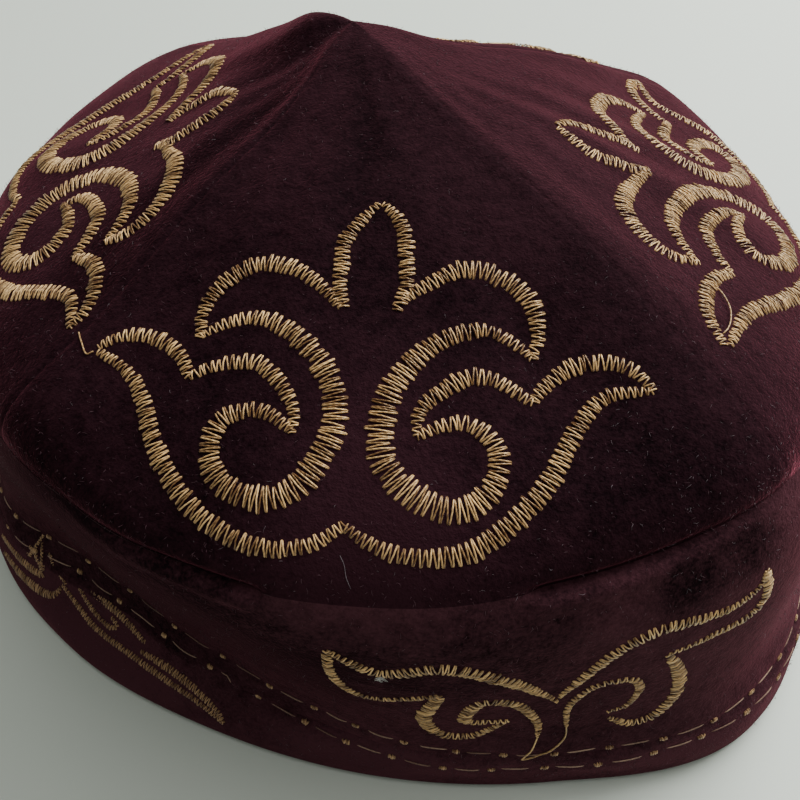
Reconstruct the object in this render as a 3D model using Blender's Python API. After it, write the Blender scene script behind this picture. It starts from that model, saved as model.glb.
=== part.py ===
"""A four-gore velvet cap with an upright band, resting on a table.

Run with blender --background --python part.py, or from the text editor.
The cap stands on z = 0 with its front gore towards -Y. Angles run round the cap from the
front, through the right side at +X. Sizes are in millimetres and become metres at the end.
"""

import math

import bpy
import numpy as np

# Main sizes
CAP_HEIGHT = 99.2
CROWN_CLOTH = 1.8
BAND_CLOTH = 1.8
HEM_CLOTH = 2.8
SEAM_GAP = 0.3
STITCH_LINE_HEIGHT = 12.0
HEM_LIP_HEIGHT = 2.2
HEM_FLAT_WIDTH = 3.2
HEM_CURL = 1.3
FACING_HEIGHT = 24.0
HALF_GORE = 45.0

# Mesh fineness
STEPS_PER_GORE = 18
STEP_DEGREES = 2.0 * HALF_GORE / STEPS_PER_GORE
CROWN_ROWS = 12
CROWN_ROWS_END = 0.90
CREASE_ROW = 0.045
WALL_ROWS = 7
WALL_ROWS_START = 0.12
HEM_ROWS = 4
SHARP_ANGLE_DEGREES = 40.0

# The cap seen from above, a row for each sixteenth of a turn from the front to the right and on.
# The hem is rolled outwards at the left of the front, so there the stitch line lies far inside the foot.
# where, seam radius, seam height, swell below the seam, stitch line radius, foot radius
OUTLINE = (
    ("front", 84.4, 61.5, 3.0, 80.8, 84.3),
    ("front to front right", 84.3, 62.5, 3.5, 87.5, 89.3),
    ("front right ridge", 87.0, 66.5, 4.5, 95.6, 98.6),
    ("front right to right", 83.0, 63.0, 3.5, 92.6, 95.5),
    ("right", 79.5, 61.0, 1.5, 84.5, 87.5),
    ("right to back right", 79.0, 61.0, 0.5, 84.0, 86.5),
    ("back right ridge", 81.5, 63.5, 0.0, 86.5, 89.0),
    ("back right to back", 82.0, 61.5, 1.0, 85.5, 87.5),
    ("back", 83.5, 61.5, 2.0, 86.0, 88.0),
    ("back to back left", 87.0, 62.5, 3.0, 90.0, 92.0),
    ("back left ridge", 92.5, 66.5, 4.5, 95.5, 97.5),
    ("back left to left", 89.5, 63.5, 5.5, 93.5, 97.5),
    ("left", 87.0, 62.0, 5.0, 92.0, 98.2),
    ("left to front left", 85.0, 62.0, 3.5, 92.6, 98.4),
    ("front left ridge", 84.7, 62.5, 2.0, 77.6, 90.8),
    ("front left to front", 84.0, 61.5, 2.0, 74.8, 84.5),
)
SEAM_RADIUS, SEAM_HEIGHT, SWELL, LINE_RADIUS, FOOT_RADIUS = 1, 2, 3, 4, 5
LEVEL_SEAM_HEIGHT = 64.0

# The crown from its apex down to the seam, as shares of the rise above the seam and of the seam's radius.
# The ridges are crisp at the top, and the rings round out towards the seam.
# share of the rise, ridge share of the radius, middle share of the radius
CROWN_RINGS = (
    (1.000, 0.000, 0.000),
    (0.945, 0.088, 0.069),
    (0.865, 0.180, 0.145),
    (0.785, 0.287, 0.240),
    (0.695, 0.430, 0.370),
    (0.595, 0.555, 0.478),
    (0.485, 0.670, 0.590),
    (0.372, 0.776, 0.717),
    (0.265, 0.885, 0.838),
    (0.170, 0.950, 0.920),
    (0.080, 0.985, 0.972),
    (0.000, 1.000, 1.000),
)

# The apex has slumped to the left and the back. A ring leans with it by a power of its share of the rise
APEX_LEAN = (-11.0, 15.5)
APEX_LEAN_POWER = 3.25

# Soft dents and pinches of the crown: degrees round, share of the way down, how far the cloth
# is pushed down in mm (negative where it stands up), and the reach of each in degrees and in share
CROWN_FOLDS = (
    ("cloth stands up on the left of the apex", -126.0, 0.21, -4.4, 24.0, 0.135),
    ("left gore full towards the back", -95.0, 0.75, -2.0, 20.0, 0.20),
    ("front left ridge slumped", -47.0, 0.60, 1.5, 20.0, 0.26),
    ("hollow beside the front right ridge", 27.0, 0.62, 1.2, 9.0, 0.16),
    ("hollow low on the left of the front gore", -26.0, 0.80, 1.0, 12.0, 0.14),
    ("dent near the top of the left gore", -108.0, 0.66, 1.6, 9.0, 0.16),
    ("dent in the right gore's far side", 116.0, 0.62, 1.8, 11.0, 0.18),
    ("sag of the back gore", 180.0, 0.52, 2.0, 24.0, 0.22),
)

# The crease where the crown meets the band: deepest beside each ridge, gone in the middle of a gore
CREASE_DEPTH = 1.7
CREASE_REACH = 0.08

# The band is fullest at this share of the way down to the stitch line
FULLEST_SHARE = 0.22

# How much of the hem's drop keeps step with its turn outwards. The rest comes late, as it rolls over
EVEN_DROP_SHARE = 0.45

GORES = (
    ("crown_front", 0.0),
    ("crown_right", 90.0),
    ("crown_back", 180.0),
    ("crown_left", -90.0),
)
VELVET_COLOUR = (0.030, 0.007, 0.012, 1.0)
BAND_COLOUR = (0.036, 0.009, 0.015, 1.0)
VELVET_ROUGHNESS = 0.9

MILLIMETRE = 0.001
NORMAL_STEP_DEGREES = 0.5
NORMAL_STEP_SHARE = 0.004
APEX_SHARE = 0.022
SEAM = 1.0
STITCH_LINE = 2.0
FOOT = 3.0


def curve_through(values, position, closed=False):
    """A smooth curve through evenly spaced values, read at positions counted in rows."""
    values = np.asarray(values, dtype=float)
    count = len(values)
    last_row = count - 1 if closed else count - 2
    row = np.clip(np.floor(position), 0, last_row).astype(int)
    part = position - row
    if closed:
        picks = [(row + step) % count for step in (-1, 0, 1, 2)]
    else:
        picks = [np.clip(row + step, 0, count - 1) for step in (-1, 0, 1, 2)]
    before, here, after, beyond = (values[pick] for pick in picks)
    bend = 3.0 * (here - after) + beyond - before
    curl = 2.0 * before - 5.0 * here + 4.0 * after - beyond + part * bend
    return here + 0.5 * part * (after - before + part * curl)


def outline(column, angle):
    """One column of OUTLINE as a smooth closed curve, at an angle in degrees from the front."""
    values = [row[column] for row in OUTLINE]
    position = np.mod(angle, 360.0) / 360.0 * len(OUTLINE)
    return curve_through(values, position, closed=True)


def gore_angle(angle):
    """Degrees from the middle of the nearest gore, from -45 at one ridge to 45 at the next."""
    return np.mod(angle + HALF_GORE, 2.0 * HALF_GORE) - HALF_GORE


def crown_column(column, down):
    """One column of CROWN_RINGS as a smooth curve, at a share of the way from the apex down to the seam."""
    return curve_through([ring[column] for ring in CROWN_RINGS], down * (len(CROWN_RINGS) - 1))


def crown_axis(down):
    """Middle of the crown's ring in plan, which leans towards the slumped apex."""
    rise = np.clip(crown_column(0, np.clip(down, 0.0, SEAM)), 0.0, 1.0)
    return (rise**APEX_LEAN_POWER)[..., None] * np.array([*APEX_LEAN, 0.0])


def crown_point(down, angle, folded=True):
    """Radius and height of the crown, at a share of the way from the apex down to the seam.

    The rings are level near the apex and follow the seam's rise and fall near the seam. Each is
    between a square, straight from ridge to ridge, and a circle, and the ring's two shares of the
    radius say how near it is to either. The folds then push the cloth down or lift it.
    """
    rise, ridge, middle = (crown_column(column, down) for column in range(3))
    bulge = ridge / middle - 1.0
    corner = math.cos(math.radians(HALF_GORE))
    flatness = (np.cos(np.radians(gore_angle(angle))) - corner) / (1.0 - corner)
    radius = outline(SEAM_RADIUS, angle) * ridge / (1.0 + bulge * flatness)
    seam_height = outline(SEAM_HEIGHT, angle)
    height = LEVEL_SEAM_HEIGHT + (CAP_HEIGHT - LEVEL_SEAM_HEIGHT) * rise
    height = height + (seam_height - LEVEL_SEAM_HEIGHT) * (1.0 - rise) ** 3
    for _, fold_angle, fold_down, depth, angle_reach, down_reach in CROWN_FOLDS if folded else ():
        turn = np.mod(angle - fold_angle + 180.0, 360.0) - 180.0
        apart = (turn / angle_reach) ** 2 + ((down - fold_down) / down_reach) ** 2
        height = height - depth * np.exp(-apart)
    return radius, height


def band_point(down, angle):
    """Radius and height of the band, where down is 1 at the seam, 2 at the stitch line and 3 at the foot."""
    seam_radius = outline(SEAM_RADIUS, angle)
    seam_height = outline(SEAM_HEIGHT, angle)
    line_radius = outline(LINE_RADIUS, angle)
    foot_radius = outline(FOOT_RADIUS, angle)
    wall = np.clip(down - SEAM, 0.0, 1.0)
    roll = np.clip(down - STITCH_LINE, 0.0, 1.0)
    rising = 1.0 - (1.0 - wall / FULLEST_SHARE) ** 2
    falling = np.cos(0.5 * math.pi * (wall - FULLEST_SHARE) / (1.0 - FULLEST_SHARE)) ** 2
    radius = seam_radius + (line_radius - seam_radius) * wall
    radius = radius + outline(SWELL, angle) * np.where(wall < FULLEST_SHARE, rising, falling)
    height = seam_height + (STITCH_LINE_HEIGHT - seam_height) * wall
    radius = radius + (foot_radius - line_radius) * np.sin(0.5 * math.pi * roll)
    drop = EVEN_DROP_SHARE * roll + (1.0 - EVEN_DROP_SHARE) * roll**2
    height = height - (STITCH_LINE_HEIGHT - HEM_LIP_HEIGHT) * drop
    return radius, height


def cap_point(down, angle, folded=True):
    """The cap's outer face, from 0 at the apex through 1 at the seam to 3 at the foot, as x, y, z in mm.

    Unfolded, it has no dents or pinches and its apex doesn't lean.
    """
    down, angle = np.broadcast_arrays(np.asarray(down, float), np.asarray(angle, float))
    crown_radius, crown_height = crown_point(np.clip(down, APEX_SHARE, SEAM), angle, folded)
    band_radius, band_height = band_point(np.clip(down, SEAM, FOOT), angle)
    on_crown = down < SEAM
    radius = np.where(on_crown, crown_radius, band_radius)
    height = np.where(on_crown, crown_height, band_height)
    beside_ridge = (gore_angle(angle) / HALF_GORE) ** 2
    radius = radius - CREASE_DEPTH * beside_ridge * np.exp(-(((down - SEAM) / CREASE_REACH) ** 2))
    turn = np.radians(angle)
    middle = crown_axis(down) if folded else 0.0
    return middle + np.stack([radius * np.sin(turn), -radius * np.cos(turn), height], axis=-1)


def cap_normal(down, angle):
    """Unit outward normal of the unfolded cap.

    It comes from small steps down and round, so that at a ridge it is the mean of both sides.
    """
    down, angle = np.broadcast_arrays(np.asarray(down, float), np.asarray(angle, float))
    upper = np.clip(down - NORMAL_STEP_SHARE, 0.0, FOOT)
    lower = np.clip(down + NORMAL_STEP_SHARE, 0.0, FOOT)
    along = cap_point(lower, angle, folded=False) - cap_point(upper, angle, folded=False)
    clockwise = cap_point(down, angle - NORMAL_STEP_DEGREES, folded=False)
    across = cap_point(down, angle + NORMAL_STEP_DEGREES, folded=False) - clockwise
    normal = np.cross(along, across)
    return normal / np.linalg.norm(normal, axis=-1, keepdims=True)


def band_rows():
    """Places down the band's outer face at which its section has a point, from the seam to the foot."""
    top = [SEAM, SEAM + CREASE_ROW]
    wall = np.linspace(SEAM + WALL_ROWS_START, STITCH_LINE, WALL_ROWS)
    hem = np.linspace(STITCH_LINE, FOOT, HEM_ROWS + 1)[1:]
    return np.concatenate([top, wall, hem])


def plan_centre():
    """Middle of the cap's outline seen from above, which becomes the origin."""
    angle = np.arange(0.0, 360.0, STEP_DEGREES)
    wall = cap_point(band_rows()[:, None], angle).reshape(-1, 3)
    return 0.5 * (wall.max(axis=0) + wall.min(axis=0)) * np.array([1.0, 1.0, 0.0])


def loft_object(name, material, collection, sections, closed):
    """A closed solid from sections that are rings of points.

    Neighbouring sections differ in shape and size all round the cap, so they are joined by
    rows of four-sided faces. An open loft gets a face row across each end section.
    """
    sections = (np.asarray(sections) - plan_centre()) * MILLIMETRE
    count, ring = sections.shape[:2]
    index = np.arange(count * ring).reshape(count, ring)
    following = np.roll(index, -1, axis=0) if closed else index[1:]
    here = index if closed else index[:-1]
    quads = np.stack([here, following, np.roll(following, -1, axis=1), np.roll(here, -1, axis=1)], axis=-1)
    faces = quads.reshape(-1, 4).tolist()
    if not closed:
        half = ring // 2
        for end, flip in ((index[0], False), (index[-1], True)):
            for step in range(half - 1):
                face = [end[step], end[step + 1], end[ring - 2 - step], end[ring - 1 - step]]
                faces.append([int(corner) for corner in (reversed(face) if flip else face)])
    mesh = bpy.data.meshes.new(name)
    mesh.from_pydata(sections.reshape(-1, 3).tolist(), [], faces)
    mesh.validate()
    mesh.materials.append(material)
    mesh.shade_smooth()
    mesh.set_sharp_from_angle(angle=math.radians(SHARP_ANGLE_DEGREES))
    solid = bpy.data.objects.new(name, mesh)
    collection.objects.link(solid)
    return solid


def crown_rows():
    """Shares of the way down at which a gore has a row of points, closer together beside the seam."""
    upper = np.linspace(APEX_SHARE, CROWN_ROWS_END, CROWN_ROWS)
    return np.append(upper, [SEAM - CREASE_ROW, SEAM])


def make_gore(name, middle_angle, material, collection):
    """One gore of the crown: a loft of strips that run from its left ridge seam to its right one.

    Each strip is a ring, out along the outer face and back along the inner face. Both ends of a
    strip stop half the seam gap short of the ridge's upright plane, and the last strip stops half
    the gap above the band.
    """
    share = np.linspace(-1.0, 1.0, STEPS_PER_GORE + 1)
    rows = []
    for place in crown_rows():
        normal = cap_normal(place, middle_angle + HALF_GORE * share)
        edge = cap_point(place, middle_angle + HALF_GORE) - crown_axis(place)
        edge_radius = np.hypot(edge[0], edge[1])
        trim = math.degrees(math.asin(0.5 * SEAM_GAP / edge_radius))
        outer = cap_point(place, middle_angle + (HALF_GORE - trim) * share)
        if place == SEAM:
            outer = outer + np.array([0.0, 0.0, 0.5 * SEAM_GAP])
        inner = outer - CROWN_CLOTH * normal
        rows.append(np.concatenate([outer, inner[::-1]]))
    return loft_object(name, material, collection, rows, closed=False)


def band_section(angle):
    """The band's cut section at one angle, a ring of points down the outer face and up the inner one."""
    outer_down = band_rows()
    outer = cap_point(outer_down, angle)
    outer[0, 2] -= 0.5 * SEAM_GAP
    turn = math.radians(angle)
    outward = np.array([math.sin(turn), -math.cos(turn), 0.0])
    foot = outer[-1] * np.array([1.0, 1.0, 0.0])
    sole_outside = foot - HEM_CURL * outward
    sole_inside = foot - (HEM_CURL + HEM_FLAT_WIDTH) * outward
    inner_down = outer_down[outer_down <= STITCH_LINE][::-1]
    normal = cap_normal(inner_down, angle)
    face = cap_point(inner_down, angle)
    face[-1, 2] -= 0.5 * SEAM_GAP
    doubled = face[:, 2] < FACING_HEIGHT
    cloth = np.where(doubled, HEM_CLOTH, BAND_CLOTH)[:, None]
    inner = face - cloth * normal
    return np.concatenate([outer, [sole_outside, sole_inside], inner])


def make_band(material, collection):
    """The band: a closed loft of its cut sections, one for every step round the cap."""
    angles = np.arange(0.0, 360.0, STEP_DEGREES)
    sections = [band_section(angle)[::-1] for angle in angles]
    return loft_object("band", material, collection, sections, closed=True)


def make_velvet(name, colour):
    """A matt cloth material."""
    material = bpy.data.materials.new(name)
    material.use_nodes = True
    shader = material.node_tree.nodes["Principled BSDF"]
    shader.inputs["Base Color"].default_value = colour
    shader.inputs["Roughness"].default_value = VELVET_ROUGHNESS
    shader.inputs["Metallic"].default_value = 0.0
    return material


def build_cap():
    """Clears the scene and makes the four gores and the band."""
    for old in list(bpy.data.objects):
        bpy.data.objects.remove(old, do_unlink=True)
    collection = bpy.data.collections.new("velvet_cap")
    bpy.context.scene.collection.children.link(collection)
    for name, middle_angle in GORES:
        velvet = make_velvet(name + "_velvet", VELVET_COLOUR)
        make_gore(name, middle_angle, velvet, collection)
    make_band(make_velvet("band_velvet", BAND_COLOUR), collection)


build_cap()
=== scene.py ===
"""A four-gore velvet kufi cap with gold thread embroidery, standing on a pale table.

Shapes are worked out in millimetres and become metres when a mesh is made. A place on the cap is
written as down and angle: down runs from 0 at the peak over 1 at the crown seam and 2 at the
stitch line to 3 at the foot of the hem, and the angle runs in degrees from the front through the
right side.
"""

import math

import bpy
import numpy as np
from mathutils import Matrix


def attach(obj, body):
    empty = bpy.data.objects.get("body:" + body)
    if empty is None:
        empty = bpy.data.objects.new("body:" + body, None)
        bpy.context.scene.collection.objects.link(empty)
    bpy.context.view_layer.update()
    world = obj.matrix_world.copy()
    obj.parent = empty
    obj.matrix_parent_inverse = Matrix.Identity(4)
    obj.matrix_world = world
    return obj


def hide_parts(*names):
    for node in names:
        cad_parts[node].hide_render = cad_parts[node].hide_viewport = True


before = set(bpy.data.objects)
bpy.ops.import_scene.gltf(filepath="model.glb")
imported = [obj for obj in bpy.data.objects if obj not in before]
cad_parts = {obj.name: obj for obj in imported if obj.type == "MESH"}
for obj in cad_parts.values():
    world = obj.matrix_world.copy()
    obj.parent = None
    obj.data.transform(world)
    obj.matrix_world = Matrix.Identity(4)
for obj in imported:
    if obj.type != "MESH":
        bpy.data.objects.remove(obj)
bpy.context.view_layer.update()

MILLIMETRE = 0.001
TIP, SEAM, STITCH_LINE, FOOT = 0.0008, 1.0, 2.0, 3.0

# Main sizes of the cut and sewn cap
CAP_HEIGHT = 99.2
CROWN_CLOTH = 1.8
BAND_CLOTH = 1.8
HEM_CLOTH = 2.8
STITCH_LINE_HEIGHT = 12.0
HEM_LIP_HEIGHT = 2.2
HEM_FLAT_WIDTH = 3.2
HEM_CURL = 1.3
FACING_HEIGHT = 24.0
FACING_EDGE = 0.25
HALF_GORE = 45.0
LEVEL_SEAM_HEIGHT = 64.0
CREASE_DEPTH = 0.5
CREASE_REACH = 0.08
FULLEST_SHARE = 0.22
EVEN_DROP_SHARE = 0.45

# The cap seen from above, a row for each sixteenth of a turn from the front to the right and on
# seam radius, seam height, swell below the seam, stitch line radius, foot radius
OUTLINE = np.array((
    (84.4, 61.5, 3.0, 80.8, 84.3),
    (84.3, 62.5, 3.5, 87.5, 89.3),
    (87.0, 66.5, 3.5, 95.6, 99.6),
    (83.0, 63.0, 2.5, 92.6, 95.5),
    (79.5, 61.0, 1.5, 84.5, 87.5),
    (79.0, 61.0, 0.5, 84.0, 86.5),
    (81.5, 63.5, 0.0, 86.5, 89.0),
    (82.0, 61.5, 1.0, 85.5, 87.5),
    (83.5, 61.5, 2.0, 86.0, 88.0),
    (87.0, 62.5, 3.0, 90.0, 92.0),
    (92.5, 66.5, 4.5, 95.5, 97.5),
    (89.5, 63.5, 5.5, 93.5, 97.5),
    (87.0, 62.0, 5.0, 92.0, 98.2),
    (85.0, 62.0, 3.5, 92.6, 98.4),
    (84.7, 62.5, 2.0, 77.6, 90.8),
    (84.0, 61.5, 2.0, 74.8, 84.5),
))
SEAM_RADIUS, SEAM_HEIGHT, SWELL, LINE_RADIUS, FOOT_RADIUS = range(5)

# The crown from its peak down to the seam
# share of the rise, ridge share of the radius, middle share of the radius
CROWN_RINGS = np.array((
    (1.000, 0.000, 0.000),
    (0.945, 0.088, 0.069),
    (0.865, 0.180, 0.145),
    (0.785, 0.287, 0.240),
    (0.695, 0.430, 0.370),
    (0.595, 0.555, 0.478),
    (0.485, 0.670, 0.590),
    (0.372, 0.776, 0.717),
    (0.265, 0.885, 0.838),
    (0.170, 0.950, 0.920),
    (0.080, 0.985, 0.972),
    (0.000, 1.000, 1.000),
))

# The peak has slumped to the left and the back. A ring leans with it by a power of its share of the rise
PEAK_LEAN = np.array((-11.0, 15.5, 0.0))
PEAK_LEAN_POWER = 3.25

# Soft dents and pinches of the crown, which die out near the peak
# degrees round, share of the way down, mm pushed down, reach in degrees, reach in share
CROWN_FOLDS = (
    (-126.0, 0.21, -4.4, 24.0, 0.135),
    (-95.0, 0.75, -2.0, 20.0, 0.20),
    (-47.0, 0.60, 1.5, 20.0, 0.26),
    (27.0, 0.62, 1.2, 9.0, 0.16),
    (-26.0, 0.80, 1.0, 12.0, 0.14),
    (-108.0, 0.66, 1.6, 9.0, 0.16),
    (116.0, 0.62, 1.8, 11.0, 0.18),
    (180.0, 0.52, 2.0, 24.0, 0.22),
)

DENT_FREE_SHARE = 0.07

# The cloth bends over a ridge in an arc of about so many degrees of the cap's round
RIDGE_ROUNDING = 3.0

PLAN_CENTRE = np.array((-4.2149, 0.8622, 0.0))


def curve_through(values, position, closed=False):
    """A smooth curve through evenly spaced values, read at positions counted in rows.

    Between two values it is the cubic whose slope at each is half the step between its neighbours.
    """
    count = len(values)
    row = np.clip(np.floor(position), 0, count - 1 if closed else count - 2).astype(int)
    part = position - row
    if closed:
        picks = [(row + step) % count for step in (-1, 0, 1, 2)]
    else:
        picks = [np.clip(row + step, 0, count - 1) for step in (-1, 0, 1, 2)]
    before, here, after, beyond = (values[pick] for pick in picks)
    bend = 3.0 * (here - after) + beyond - before
    curl = 2.0 * before - 5.0 * here + 4.0 * after - beyond + part * bend
    return here + 0.5 * part * (after - before + part * curl)


def gap_turn(angle, middle):
    """Degrees from one angle round to another, between -180 and 180."""
    return np.mod(angle - middle + 180.0, 360.0) - 180.0


def outline(column, angle):
    """One column of OUTLINE as a smooth closed curve round the cap."""
    return curve_through(OUTLINE[:, column], np.mod(angle, 360.0) / 360.0 * len(OUTLINE), closed=True)


def gore_angle(angle):
    """Degrees from the middle of the nearest gore, from -45 at one ridge to 45 at the next."""
    return np.mod(angle + HALF_GORE, 2.0 * HALF_GORE) - HALF_GORE


def rounded_gore_angle(angle):
    """Degrees from a gore's middle that level out at its ridges: the way to the ridge is a hypotenuse."""
    return HALF_GORE - np.hypot(HALF_GORE - np.abs(gore_angle(angle)), RIDGE_ROUNDING)


def ring_column(column, down):
    """One column of CROWN_RINGS as a smooth curve down the crown."""
    return curve_through(CROWN_RINGS[:, column], down * (len(CROWN_RINGS) - 1))


def crown_point(down, angle, folded=True):
    """Radius and height of the crown.

    Each ring is between a square and a circle, as its two shares of the radius say. The height is
    the ring's share of the rise, plus the seam's own rise and fall, fading out by the cube of the
    way up, less a bell-shaped dent for each fold, which ends at the peak.
    """
    rise, ridge, middle = (ring_column(column, down) for column in range(3))
    corner = math.cos(math.radians(HALF_GORE - RIDGE_ROUNDING))
    flatness = (np.cos(np.radians(rounded_gore_angle(angle))) - corner) / (1.0 - corner)
    radius = outline(SEAM_RADIUS, angle) * ridge / (1.0 + (ridge / middle - 1.0) * flatness)
    height = LEVEL_SEAM_HEIGHT + (CAP_HEIGHT - LEVEL_SEAM_HEIGHT) * rise
    height = height + (outline(SEAM_HEIGHT, angle) - LEVEL_SEAM_HEIGHT) * (1.0 - rise) ** 3
    for fold_angle, fold_down, depth, angle_reach, down_reach in CROWN_FOLDS if folded else ():
        turn = gap_turn(angle, fold_angle)
        bell = np.exp(-((turn / angle_reach) ** 2) - ((down - fold_down) / down_reach) ** 2)
        height = height - depth * bell * smooth_step(down / DENT_FREE_SHARE)
    return radius, height


def band_point(down, angle):
    """Radius and height of the band.

    The wall runs straight from the seam to the stitch line, with a swell that rises as a parabola
    to its fullest share and falls as a squared cosine. The hem then turns out as a sine of its
    share, while its height falls partly in step and partly with the square of the share.
    """
    line_radius = outline(LINE_RADIUS, angle)
    wall = np.clip(down - SEAM, 0.0, 1.0)
    roll = np.clip(down - STITCH_LINE, 0.0, 1.0)
    rising = 1.0 - (1.0 - wall / FULLEST_SHARE) ** 2
    falling = np.cos(0.5 * math.pi * (wall - FULLEST_SHARE) / (1.0 - FULLEST_SHARE)) ** 2
    radius = outline(SEAM_RADIUS, angle) * (1.0 - wall) + line_radius * wall
    radius = radius + outline(SWELL, angle) * np.where(wall < FULLEST_SHARE, rising, falling)
    radius = radius + (outline(FOOT_RADIUS, angle) - line_radius) * np.sin(0.5 * math.pi * roll)
    height = outline(SEAM_HEIGHT, angle) * (1.0 - wall) + STITCH_LINE_HEIGHT * wall
    drop = EVEN_DROP_SHARE * roll + (1.0 - EVEN_DROP_SHARE) * roll**2
    return radius, height - (STITCH_LINE_HEIGHT - HEM_LIP_HEIGHT) * drop


def cap_point(down, angle, folded=True):
    """A place on the cap's outer face as x, y, z in mm: a turned point of the crown or of the band.

    Beside each ridge the crown seam is creased inwards, as a bell shape across the seam. Unfolded,
    the crown has no dents and its peak doesn't lean.
    """
    down, angle = np.broadcast_arrays(np.asarray(down, float), np.asarray(angle, float))
    on_crown = np.clip(down, TIP, SEAM)
    crown_radius, crown_height = crown_point(on_crown, angle, folded)
    band_radius, band_height = band_point(np.clip(down, SEAM, FOOT), angle)
    radius = np.where(down < SEAM, crown_radius, band_radius)
    height = np.where(down < SEAM, crown_height, band_height)
    beside_ridge = (rounded_gore_angle(angle) / HALF_GORE) ** 2
    radius = radius - CREASE_DEPTH * beside_ridge * np.exp(-(((down - SEAM) / CREASE_REACH) ** 2))
    turn = np.radians(angle)
    place = np.stack([radius * np.sin(turn), -radius * np.cos(turn), height], axis=-1) - PLAN_CENTRE
    lean = np.clip(ring_column(0, on_crown), 0.0, 1.0) ** PEAK_LEAN_POWER
    return place + lean[..., None] * PEAK_LEAN if folded else place


def slopes(down, angle, folded=True, step=(0.004, 0.5)):
    """How the cap's face moves per unit of down and per degree, from small steps each way."""
    lower, upper = np.clip(down + step[0], 0.0, FOOT), np.clip(down - step[0], 0.0, FOOT)
    along = cap_point(lower, angle, folded) - cap_point(upper, angle, folded)
    across = cap_point(down, angle + step[1], folded) - cap_point(down, angle - step[1], folded)
    return along / (lower - upper)[..., None], across / (2.0 * step[1])


def unit(vectors):
    """Vectors scaled to length one."""
    return vectors / np.maximum(np.linalg.norm(vectors, axis=-1, keepdims=True), 1e-9)


def cap_normal(down, angle, folded=True, step=(0.004, 0.5)):
    """Outward unit normal of the cap's face: the cross product of its two slopes."""
    down, angle = np.broadcast_arrays(np.asarray(down, float), np.asarray(angle, float))
    along, across = slopes(down, angle, folded, step)
    return unit(np.cross(along, across))


def wave_noise(down, angle, waves, seed):
    """Smooth irregular ripples between about -1 and 1.

    It is the mean of sine waves in the place on the cap. Each wave has its own whole number of
    turns round the cap, its own number of turns down it and its own start, from a seeded list.
    """
    rng = np.random.default_rng(seed)
    total = 0.0
    for _ in range(waves[0]):
        turns = rng.integers(waves[1], waves[2] + 1)
        fall = rng.uniform(-1.0, 1.0) * waves[2] * 0.4
        total = total + np.sin(np.radians(turns * angle) + fall * down + rng.uniform(0.0, 2.0 * math.pi))
    return total / math.sqrt(waves[0])


# Where the panels are sewn, the cloth sinks into the seam, and pile pressed along it stays in fine lines
RIDGE_GROOVE_DEPTH = 0.07
RIDGE_GROOVE_REACH = 0.40
RIDGE_SHOULDER_HEIGHT = 0.05
RIDGE_SHOULDER_PLACE = 1.5
RIDGE_SHOULDER_REACH = 1.0
PRESSED_LINES = ((5.5, 0.06, 0.6), (11.0, 0.05, 0.7))
PRESSED_LINES_RIDGE = 45.0
RIDGE_FADE_AT_SEAM = 0.05
RIDGE_FREE_SHARE = 0.03
RIDGE_FADE_AT_PEAK = 0.08

# The crown seam shows as creases that end short of each gore's middle, with a lip of band below them
# degrees round at the crease's sharp end, degrees round where it has faded away
SEAM_CREASES = (
    (-8.0, -38.0), (16.0, 46.0), (75.0, 50.0), (99.0, 128.0),
    (168.0, 140.0), (194.0, 222.0), (-100.0, -130.0), (-77.0, -52.0),
)
SEAM_CREASE_FADE = 2.5
SEAM_CREASE_TAPER = 0.6
SEAM_CREASE_DEPTH = 1.5
SEAM_CREASE_REACH = 0.9
SEAM_LIP_HEIGHT = 0.85
SEAM_LIP_PLACE = 2.3
SEAM_LIP_REACH = 1.6

# Two rows of stitches pinch the hem, which is a little fuller round them. They climb at the front
# left, where the hem is rolled out.
# degrees round, mm below the stitch line of the upper row and of the lower row
ROWS = np.array((
    (-85.0, -0.8, 2.7),
    (-62.0, -5.5, -1.2),
    (-50.0, -8.2, -4.2),
    (-40.0, -8.0, -3.8),
    (-30.0, -8.0, -3.5),
    (-20.0, -7.2, -3.1),
    (-17.0, -7.2, 2.0),
    (-7.0, -5.5, 1.7),
    (-1.0, -4.0, 2.2),
    (5.0, -2.6, 3.2),
    (11.0, -1.8, 3.2),
    (17.0, -1.6, 3.1),
    (36.0, -0.8, 2.7),
))
STITCH_PINCH_DEPTH = 0.18
STITCH_PINCH_REACH = 0.9
STITCH_PULL = 0.4
STITCH_PULLS_ROUND = 61.0
HEM_FULLNESS = 1.3
HEM_FULLNESS_REACH = 6.0

# At the front left cloth fills the fold above the rolled hem, round the stitch line
ROLL_FULLNESS = 3.5
ROLL_MIDDLE = -40.0
ROLL_REACH = 26.0
ROLL_REACH_UP = 5.0
ROLL_REACH_DOWN = 4.0

# Slight ripples all over: mm high, number of waves, fewest and most turns round, seed, and where they fade
CLOTH_RIPPLE = 0.22
RIPPLE_WAVES = (9, 5, 22)
RIPPLE_SEED = 11
RIPPLE_FREE_SHARE = 0.12
RIPPLE_FADE_AT_PEAK = 0.3
RIPPLE_FADE_AT_FOOT = 0.2


def upper_row(angle):
    """Mm from the stitch line down to the upper row, straight between the angles of ROWS."""
    return np.interp(gap_turn(angle, 0.0), ROWS[:, 0], ROWS[:, 1])


def lower_row(angle):
    """Mm from the stitch line down to the lower row, straight between the angles of ROWS."""
    return np.interp(gap_turn(angle, 0.0), ROWS[:, 0], ROWS[:, 2])


def below_line(down, angle):
    """Mm of cloth below the stitch line, from the straight distance to it."""
    gap = np.linalg.norm(cap_point(down, angle) - cap_point(STITCH_LINE, angle), axis=-1)
    return np.where(down < STITCH_LINE, -gap, gap)


def smooth_step(value):
    """From 0 to 1 with level ends: three squares less two cubes."""
    value = np.clip(value, 0.0, 1.0)
    return value * value * (3.0 - 2.0 * value)


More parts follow.
